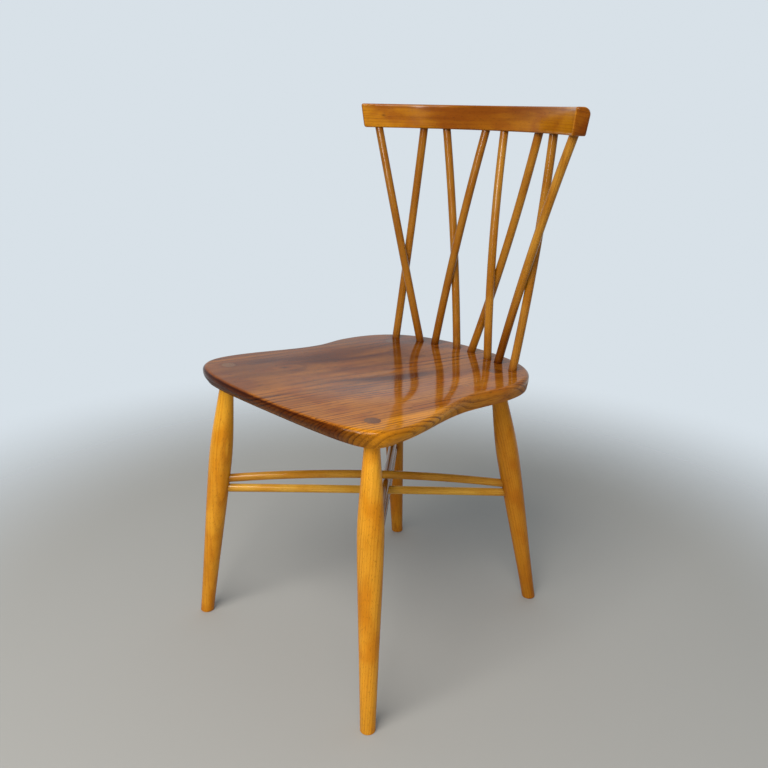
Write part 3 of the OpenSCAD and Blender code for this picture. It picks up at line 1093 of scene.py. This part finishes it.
@dataclass(frozen=True)
class Seat:
    """The shaped slab, as a loft over its outlines."""

    front_height: float = 441.0
    tilt: float = 2.3
    width: float = 408.0
    depth: float = 467.0
    thickness: float = 26.0
    waist_width: float = 343.0
    hip_width: float = 358.0
    edge_round: float = 6.0
    lip_drop: float = 6.5
    dish_depth: float = 8.0
    dish_y: float = 235.0
    dish_reach: Point2 = (158.0, 190.0)
    polished_below: float = 6.0         # how far under the edge the polish fades out
    grain_skew: float = 9.0             # degrees that the grain runs off the chair's centre line
    socket_play: float = 0.12           # air round a spindle where it enters the seat
    socket_line: Point2 = (5.0, 0.45)   # reach and depth of the painted shade round a spindle
    tenon_line: Point2 = (3.0, 0.225)   # and of the painted shade round a tenon
    edge: EdgeTone = EdgeTone()

    @property
    def front_y(self) -> float:
        """Where the seat's own zero lies in the frame, in mm: its lip is the box's front."""
        lip = math.sin(math.radians(self.tilt)) * self.lip_drop
        return CAD_BOX[0].y / MM + lip

    def to_frame(self, points: np.ndarray) -> np.ndarray:
        """Takes points from the flat slab, in mm, to the frame, in metres."""
        a = math.radians(self.tilt)
        x, y, z = points.T
        tilted = np.stack([
            x,
            y * math.cos(a) + z * math.sin(a) + self.front_y,
            -y * math.sin(a) + z * math.cos(a) + self.front_height,
        ], axis=1)
        return tilted * MM

    def _to_slab(self, points: np.ndarray) -> np.ndarray:
        """Takes points from the frame, in metres, back to the flat slab, in mm."""
        a = math.radians(self.tilt)
        x, y, z = (points / MM - (0.0, self.front_y, self.front_height)).T
        return np.stack([
            x, y * math.cos(a) - z * math.sin(a), y * math.sin(a) + z * math.cos(a)
        ], axis=1)

    def _dish_share(self, x: np.ndarray, y: np.ndarray) -> np.ndarray:
        """How far out in the hollow a place lies: 0 at its middle and 1 on its rim, squared."""
        return (x / self.dish_reach[0]) ** 2 + ((y - self.dish_y) / self.dish_reach[1]) ** 2

    def _fall(self, x: np.ndarray, y: np.ndarray) -> np.ndarray:
        """How far the hollow lies below the seat's top plane."""
        return self.dish_depth * (1 - np.minimum(self._dish_share(x, y), 1)) ** 2

    def _inset(self, outline: np.ndarray, d: float) -> np.ndarray:
        """Draws an outline in by d on every side."""
        centre = np.array([0.0, self.dish_y])
        shrink = np.array([1 - 2 * d / self.width, 1 - 2 * d / self.depth])
        return centre + (outline - centre) * shrink

    def _outlines(self) -> tuple[np.ndarray, np.ndarray]:
        """The outline of the top, and that of the flat underside, which the bevel leads to."""
        top = Outline(
            front=0, widest=(self.width / 2, 77), waist=(self.waist_width / 2, 254),
            hip=(self.hip_width / 2, 315), back=self.depth, corner=(150, 56),
        )
        under = Outline(
            front=20, widest=(self.width / 2 - 15, 70), waist=(self.waist_width / 2 - 6, 244),
            hip=(self.hip_width / 2 - 7, 327), back=self.depth - 15, corner=(180, 43),
        )
        return top.points(), under.points()

    def _rings(self) -> list[np.ndarray]:
        """The slab's rings, from the middle of its underside to the middle of its top, in mm."""
        top, under = self._outlines()

        def level(outline: np.ndarray, z: float) -> np.ndarray:
            """One flat ring."""
            return np.column_stack([outline, np.full(len(outline), z)])

        t = self.thickness
        # the flat underside, and the small round where it meets the bevel
        rings = [level(self._inset(under, d), -t) for d in (150, 80, 30, 8, 2)]
        rings.append(level(self._inset(under, 0.6), 0.4 - t))
        # the bevel under the edge: share of the way to the under outline, and level
        bevel = cubic(
            [(1, 1.5 - t), (0.45, 8.7 - t), (0, 13 - t), (0, -self.lip_drop)],
            np.linspace(0, 1, 15),
        )
        rings += [level(top + (under - top) * share, z) for share, z in bevel]
        for turn in np.radians(np.arange(7, 91, 7)):
            inward = self.edge_round * (1 - math.cos(turn))
            rings.append(level(self._inset(top, inward), -self.lip_drop * (1 - math.sin(turn))))
        # the top, with its hollow, drawn in almost to a line
        for d in np.linspace(self.edge_round + 0.5, 0.49 * self.width, 34):
            ring = self._inset(top, d)
            rings.append(np.column_stack([ring, -self._fall(*ring.T)]))
        return rings

    def build(
        self, tree: RodTree, tenons: Sequence[RodLine], sockets: Sequence[RodLine]
    ) -> bpy.types.Object:
        """Builds and dresses the seat.

        Args:
            tree: the tree that makes the cutting rods.
            tenons: centre lines of the four tenon holes.
            sockets: centre lines of the eight spindles.

        Returns:
            The seat.
        """
        wood = Woods.SEAT.value
        piece = loft("seat_wood_slab", [self.to_frame(ring) for ring in self._rings()])
        bore(piece, [
            *tree.cutters(tenons, wood, 0.0, 64, 6),
            *tree.cutters(sockets, wood, self.socket_play, 48, 20),
        ])
        skew = math.radians(self.grain_skew)
        along = (math.sin(skew), math.cos(skew), -math.sin(math.radians(self.tilt)))
        grain = GrainField.straight((0, 0, self.front_height * MM), (1, 0, 0), along)
        points = vertices(piece)
        slab = self._to_slab(points)
        x, y, z = slab.T
        # painted shade round every spindle and tenon, and the tones of the rim and bevel
        tone = (
            painted_joint_shade(points, sockets, *self.socket_line)
            + painted_joint_shade(points, tenons, *self.tenon_line)
            + self.edge.tone(slab, self._dish_share(x, y) > 1.0)
        )
        # the top and the rounded edge are polished; the bevel and the underside aren't
        polish = 1.0 - ramp(z, -self.lip_drop, -self.lip_drop - self.polished_below)
        return dress(piece, wood, "seat", grain, tone=tone, polish=polish, crease=32.0)


# ------------------------------------------------------------------------------ legs


@dataclass(frozen=True)
class Leg:
    """One turned leg, cut level at the floor and flush with the seat's top."""

    node: str
    pair: str                           # the pair of stretchers that it holds
    shift: tuple[float, float, float]
    spin: float                         # degrees that the board's faces are turned by
    tone: float
    neck_glow: float = 0.0              # how much lighter it is under the seat
    foot_tone: float = 0.0              # what its lower half adds
    tenon_tone: float = 0.0             # what the end of its tenon adds
    foot_radius: float = 11.0
    belly_radius: float = 18.3
    tenon_radius: float = 11.0
    belly_at: float = 285.0
    neck_length: float = 118.0
    glow: Point2 = (385.0, 60.0)        # height and reach of the lighter neck
    foot_fade: float = 220.0            # how high the foot's tone reaches
    tenon_end: float = 6.0              # how much of the tenon its own tone takes
    tenon_play: float = 0.05            # air round the tenon in the seat
    overrun: Point2 = (14.0, 12.0)      # how far its cutter passes the seat below and above
    stretcher_play: float = 0.08        # air round a stretcher in the leg
    hole_line: Point2 = (2.5, 0.36)     # reach and depth of the painted shade round a stretcher
    sides: int = 96

    def axis(self) -> tuple[np.ndarray, np.ndarray]:
        """The centres of the leg's foot and of its tenon's end, from its CAD node."""
        points = node_points(self.node)
        level = points[:, 2]
        on_floor, on_top = 0.02 * MM, 1.2 * MM      # how near the ends their points lie
        lowest = points[level < on_floor]
        highest = points[level > level.max() - on_top]
        return tuple((p.min(axis=0) + p.max(axis=0)) / 2 for p in (lowest, highest))

    def tenon_line(self, seat: Seat) -> RodLine:
        """The centre line of the hole that the leg's tenon fills, and a little beyond it."""
        foot, head = self.axis()
        way = unit(head - foot)
        under, over = self.overrun
        start = head - way * (seat.thickness + under) * MM
        radius = (self.tenon_radius + self.tenon_play) * MM
        return RodLine(start, head + way * over * MM, np.zeros(3), radius)

    def _profile(self) -> np.ndarray:
        """Radius and height along the leg, from above the foot to under the tenon, in mm."""
        f, b, n = self.foot_radius, self.belly_radius, self.tenon_radius
        at, neck = self.belly_at, self.belly_at + self.neck_length
        # each row is one curve: its end, the two handles, and its other end
        return chain(
            [
                [(f, 0), (f + 1.5, 90), (b, at - 55), (b, at)],
                [(b, at), (b, at + 40), (n + 2.2, at + 85), (n, neck)],
            ],
            (48, 40),
        )

    def _rings(
        self, foot: np.ndarray, head: np.ndarray, spoke: np.ndarray, seat: Seat
    ) -> list[np.ndarray]:
        """The leg's rings, from its foot to the end of its tenon.

        Args:
            foot: the centre of the foot.
            head: the centre of the tenon's end.
            spoke: directions square to the leg's axis, all round it.
            seat: the seat, which the tenon's end is flush with.

        Returns:
            One array of points for each ring, in metres.
        """
        w = unit(head - foot)
        length = np.linalg.norm(head - foot) / MM
        fall = math.radians(seat.tilt)
        seat_up = np.array([0, math.sin(fall), math.cos(fall)])
        floor_up = np.array([0, 0, 1.0])
        r, n = self.foot_radius, self.tenon_radius

        def at(radius: float, height: float) -> np.ndarray:
            """A ring square to the leg's axis."""
            return foot + w * height * MM + spoke * radius * MM

        def on_plane(radius: float, centre: np.ndarray, up: np.ndarray, lift: float) -> np.ndarray:
            """A ring of the turning, slid along the axis onto a plane."""
            ring = centre + spoke * radius * MM
            miss = (centre + up * lift * MM - ring) @ up / (w @ up)
            return ring + np.outer(miss, w)

        foot_end = ((r * 0.5, 0), (r - 1.2, 0), (r - 0.5, 0.25), (r, 1.1))
        tenon_end = ((n, -0.1), (n - 0.1, 0), (n * 0.5, 0))
        tenon = np.linspace(self.belly_at + self.neck_length + 4, length - 5, 5)
        return [
            *(on_plane(radius, foot, floor_up, lift) for radius, lift in foot_end),
            *(at(radius, height) for radius, height in self._profile() if height > 5),
            *(at(n, height) for height in tenon),
            *(on_plane(radius, head, seat_up, lift) for radius, lift in tenon_end),
        ]

    def build(self, tree: RodTree, rods: Sequence[RodLine], seat: Seat) -> bpy.types.Object:
        """Builds and dresses the leg.

        Args:
            tree: the tree that makes the cutting rods.
            rods: centre lines of the two stretchers that it holds.
            seat: the seat that it carries.

        Returns:
            The leg.
        """
        wood = Woods.LEG.value
        foot, head = self.axis()
        w = unit(head - foot)
        u = unit(np.cross((0, 1, 0), w))
        v = np.cross(w, u)
        turn = np.arange(self.sides) * 2 * math.pi / self.sides
        spoke = np.outer(np.cos(turn), u) + np.outer(np.sin(turn), v)
        piece = loft(f"{self.node}_wood", self._rings(foot, head, spoke, seat))
        bore(piece, tree.cutters(rods, wood, self.stretcher_play, 40, 40))
        spin = math.radians(self.spin)
        grain = GrainField.straight(foot, u * math.cos(spin) + v * math.sin(spin), w)
        points = vertices(piece)
        height = (points - foot) @ w / MM
        length = np.linalg.norm(head - foot) / MM
        tone = (
            self.tone
            + self.neck_glow * hump(height, *self.glow)
            + self.foot_tone * ramp(height, self.foot_fade, 0.0)
            + self.tenon_tone * (height > length - self.tenon_end)
            # painted shade round the stretchers' holes
            + painted_joint_shade(points, rods, *self.hole_line)
        )
        return dress(piece, wood, self.node, grain, self.shift, tone, crease=25.0)


LEGS = (
    Leg("leg_front_left", "a", (0.004, -0.006, 0.3), 20.0, 0.06, 0.12, -0.20, -0.12),
    Leg("leg_front_right", "b", (-0.012, 0.003, 1.1), 215.0, 0.0, 0.14, -0.02, -0.08),
    Leg("leg_rear_left", "b", (0.010, 0.011, 2.3), 120.0, -0.20),
    Leg("leg_rear_right", "a", (-0.004, -0.012, 3.7), 70.0, -0.21, foot_tone=-0.12),
)


# ------------------------------------------------------------------------------ crest rail


@dataclass(frozen=True)
class CrestRail:
    """The bent rail: a leaning section swept round an arc."""

    underside: float = 783.4
    height: float = 38.4
    thickness: float = 19.6
    rake: float = 4.0
    radius: float = 279.7
    bulge: float = 23.0
    roll: float = 10.5
    half_turn: float = 47.0
    end_lean: float = 8.5
    end_round: float = 3.6
    socket_play: float = 0.12           # air round a spindle where it enters the rail
    steps: int = 121                    # sections along it

    @property
    def centre_y(self) -> float:
        """The middle of the arc in the frame, in mm: the rail's back is the box's back."""
        return CAD_BOX[1].y / MM - self.bulge - self.radius

    def _section(self) -> np.ndarray:
        """Section from its lower front edge: towards the back, and up; clockwise."""
        lean = self.height * math.tan(math.radians(self.rake))

        def arc(x: float, y: float, r: float, start: float, end: float, n: int) -> np.ndarray:
            """Points of one corner."""
            a = np.radians(np.linspace(start, end, n + 1))
            return np.column_stack([x + r * np.cos(a), y + r * np.sin(a)])

        def run(a: np.ndarray, b: np.ndarray, n: int) -> np.ndarray:
            """Points between two corners."""
            t = np.linspace(0, 1, n + 2)[1:-1, None]
            return a + (b - a) * t

        # middle and radius of each rounded corner, its first and last angle, and its steps
        corners = [
            arc(2.9, 2.5, 2.5, 270, 180, 6),
            arc(lean + 2.6, self.height - 3, 3, 174, 90, 6),
            arc(self.bulge - self.roll, self.height - self.roll, self.roll, 90, 0, 12),
            arc(self.thickness - 2, 2.5, 2.5, -14, -90, 6),
        ]
        fill = (12, 3, 8, 7)    # points on the four faces between them
        parts = []
        for i, corner in enumerate(corners):
            parts += [corner, run(corner[-1], corners[(i + 1) % 4][0], fill[i])]
        return np.vstack(parts)

    def _shrunk(self, section: np.ndarray, d: float) -> np.ndarray:
        """The section drawn in by d towards its middle."""
        middle = (section.min(axis=0) + section.max(axis=0)) / 2
        half = (section.max(axis=0) - section.min(axis=0)) / 2
        return middle + (section - middle) * (half - d) / half

    def _ring(self, section: np.ndarray, angle: np.ndarray) -> np.ndarray:
        """Places a section at an angle round the arc, in metres."""
        r = self.radius + section[:, 0]
        return np.column_stack([
            r * np.sin(angle), self.centre_y + r * np.cos(angle), self.underside + section[:, 1]
        ]) * MM

    def _end_angle(self, section: np.ndarray, extra: float) -> np.ndarray:
        """The angle of each point of the leaning end face, drawn back by extra mm."""
        r = self.radius + section[:, 0]
        flare = section[:, 1] * math.tan(math.radians(self.end_lean)) - extra
        return math.radians(self.half_turn) + flare / r

    def build(self, tree: RodTree, spindles: Sequence[RodLine]) -> bpy.types.Object:
        """Builds and dresses the rail.

        Args:
            tree: the tree that makes the cutting rods.
            spindles: centre lines of the eight spindles.

        Returns:
            The rail.
        """
        wood = Woods.RAIL.value
        section = self._section()
        rings = []
        # each end is rounded over by drawing the section in as it nears the face
        for turn in np.radians((0, 30, 60, 90)):
            drawn = self.end_round * (1 - math.sin(turn))
            back = self.end_round * (1 - math.cos(turn))
            small = self._shrunk(section, drawn)
            rings.append((small, self._end_angle(small, back)))
        inner = [self._shrunk(section, d) for d in (9.0, 5.0)]
        ends = [(s, self._end_angle(s, 0.0)) for s in inner] + rings
        body = self._end_angle(section, self.end_round)
        sweep = [(section, body * share) for share in np.linspace(1, -1, self.steps)[1:-1]]
        stack = ends + sweep + [(s, -a) for s, a in reversed(ends)]
        piece = loft("crest_rail_wood", [self._ring(s, a) for s, a in stack])
        bore(piece, tree.cutters(spindles, wood, self.socket_play, 48, 20))

        def place(points: np.ndarray) -> np.ndarray:
            """Height, depth into the rail and length round the arc."""
            x, y, z = points[:, 0], points[:, 1] - self.centre_y * MM, points[:, 2]
            mid = (self.radius + self.thickness / 2) * MM
            return np.column_stack([
                z - self.underside * MM, np.hypot(x, y) - self.radius * MM,
                np.arctan2(x, y) * mid,
            ])

        def way(points: np.ndarray) -> np.ndarray:
            """Direction round the arc."""
            angle = np.arctan2(points[:, 0], points[:, 1] - self.centre_y * MM)
            return np.column_stack([np.cos(angle), -np.sin(angle), np.zeros(len(points))])

        return dress(piece, wood, "crest_rail", GrainField(place, way), crease=40.0)


# ------------------------------------------------------------------------------ studio


class Use(Enum):
    """What a light does: whether it lights the wood, and whether it shows in the varnish."""

    BOTH = (True, True)
    LIGHTS = (True, False)
    SHINES = (False, True)


@dataclass(frozen=True)
class SoftBox:
    """A soft light that looks at the chair."""

    name: str
    place: tuple[float, float, float]
    size: Point2            # its breadth and its height, in metres
    power: float
    use: Use
    colour: Colour = (1.0, 0.96, 0.90)

    def build(self, target: Sequence[float]) -> None:
        """Hangs the light and turns it to the target."""
        lamp = bpy.data.lights.new(self.name, "AREA")
        lamp.shape = "RECTANGLE"
        lamp.size, lamp.size_y = self.size
        lamp.energy = self.power
        lamp.color = self.colour
        holder = bpy.data.objects.new(self.name, lamp)
        bpy.context.scene.collection.objects.link(holder)
        holder.location = self.place
        holder.visible_diffuse, holder.visible_glossy = self.use.value
        aim = Vector(target) - Vector(self.place)
        holder.rotation_euler = aim.to_track_quat("-Z", "Y").to_euler()


@dataclass(frozen=True)
class Camera:
    """The camera: where it stands, in metres, and how it is turned, in degrees."""

    place: tuple[float, float, float] = (0.8305, -0.85895, 0.8155)
    heading: float = -44.37
    down: float = 19.03
    roll: float = 1.14
    lens: float = 37.55

    def build(self) -> None:
        """Makes the camera and gives it to the scene."""
        data = bpy.data.cameras.new("camera")
        data.lens = self.lens
        data.sensor_width = 36.0
        holder = bpy.data.objects.new("camera", data)
        bpy.context.scene.collection.objects.link(holder)
        yaw, down, roll = (math.radians(a) for a in (self.heading, self.down, self.roll))
        look = Vector((
            math.sin(yaw) * math.cos(down), math.cos(yaw) * math.cos(down), -math.sin(down)
        ))
        right = Vector((math.cos(yaw), -math.sin(yaw), 0.0))
        up = right.cross(look)
        side = right * math.cos(roll) + up * math.sin(roll)
        top = up * math.cos(roll) - right * math.sin(roll)
        turned = Matrix((side, top, -look)).transposed()
        holder.matrix_world = Matrix.Translation(self.place) @ turned.to_4x4()
        bpy.context.scene.camera = holder


@dataclass(frozen=True)
class Studio:
    """A plain pale floor under plain soft light."""

    floor: Colour = (0.325, 0.32, 0.305)
    air: Colour = (0.686, 0.752, 0.806)
    bright_way: tuple[float, float, float] = (-0.70, 0.714, 0.0)
    strength: Point2 = (0.35, 1.0)      # the air's, away from the bright side and towards it
    turn: Point2 = (-0.3, 0.85)         # how squarely to the bright side each of them holds
    reach: float = 9.0                  # half the floor's breadth, in metres
    floor_fade: Point2 = (0.60, 1.35)   # where the floor begins to fade, and where it is gone
    aim: tuple[float, float, float] = (0.0, 0.0, 0.4)   # where the lights point
    lights: tuple[SoftBox, ...] = (
        SoftBox("key_light", (0.50, -2.1, 2.4), (2.1, 2.1), 108.0, Use.BOTH),
        SoftBox("fill_light", (1.9, -2.0, 0.8), (1.8, 1.8), 28.0, Use.LIGHTS),
        SoftBox("window_shine", (0.62, -2.9, 1.8), (0.30, 1.0), 24.0, Use.SHINES),
        SoftBox("ceiling_shine", (1.26, -1.5, 2.7), (0.9, 0.9), 30.0, Use.SHINES),
    )

    def build(self) -> None:
        """Makes the floor, the surroundings and the lights."""
        r = self.reach
        floor = new_object(
            "floor", np.array([(-r, -r, 0), (r, -r, 0), (r, r, 0), (-r, r, 0)], float),
            [(0, 1, 2, 3)],
        )
        floor.data.materials.append(self._floor_paint())
        world = bpy.data.worlds.new("studio_air")
        world.use_nodes = True
        background = world.node_tree.nodes["Background"]
        background.inputs["Color"].default_value = (*self.air, 1.0)
        graph = Graph(world.node_tree)
        way = graph.node("ShaderNodeTexCoord", output="Generated")
        facing = graph.measure("DOT_PRODUCT", way, self.bright_way)
        strength = graph.ease(facing, *self.turn, self.strength)
        world.node_tree.links.new(strength.socket, background.inputs["Strength"])
        bpy.context.scene.world = world
        bpy.context.scene.view_settings.view_transform = "Standard"
        for light in self.lights:
            light.build(self.aim)

    def _floor_paint(self) -> bpy.types.Material:
        """A matte pale floor that fades into the air around it."""
        material = bpy.data.materials.new("floor_paint")
        material.use_nodes = True
        graph = Graph(material.node_tree)
        shader = material.node_tree.nodes["Principled BSDF"]
        shader.inputs["Base Color"].default_value = (*self.floor, 1.0)
        shader.inputs["Roughness"].default_value = 0.9
        place = graph.node("ShaderNodeTexCoord", output="Object")
        fade = graph.ease(graph.measure("LENGTH", place), *self.floor_fade)
        clear = graph.node("ShaderNodeBsdfTransparent")
        mixed = graph.node(
            "ShaderNodeMixShader", {},
            {0: fade, 1: Wire(graph, shader.outputs[0]), 2: clear},
        )
        output = material.node_tree.nodes["Material Output"]
        material.node_tree.links.new(mixed.socket, output.inputs["Surface"])
        return material


# ------------------------------------------------------------------------------ the chair


def main() -> None:
    """Builds the camera, the studio and every piece of the chair."""
    logging.basicConfig(level=logging.INFO, format="%(name)s: %(message)s")
    Camera().build()
    Studio().build()
    tree = RodTree()
    seat = Seat()
    spindles = SPINDLES.build(tree)
    stretchers = STRETCHERS.build(tree)
    for leg in LEGS:
        pair = f"stretcher_{leg.pair}_"
        held = [line for node, line in zip(STRETCHERS.nodes, stretchers) if node.startswith(pair)]
        leg.build(tree, held, seat)
    seat.build(tree, [leg.tenon_line(seat) for leg in LEGS], spindles)
    CrestRail().build(tree, spindles)


if __name__ == "__main__":
    main()
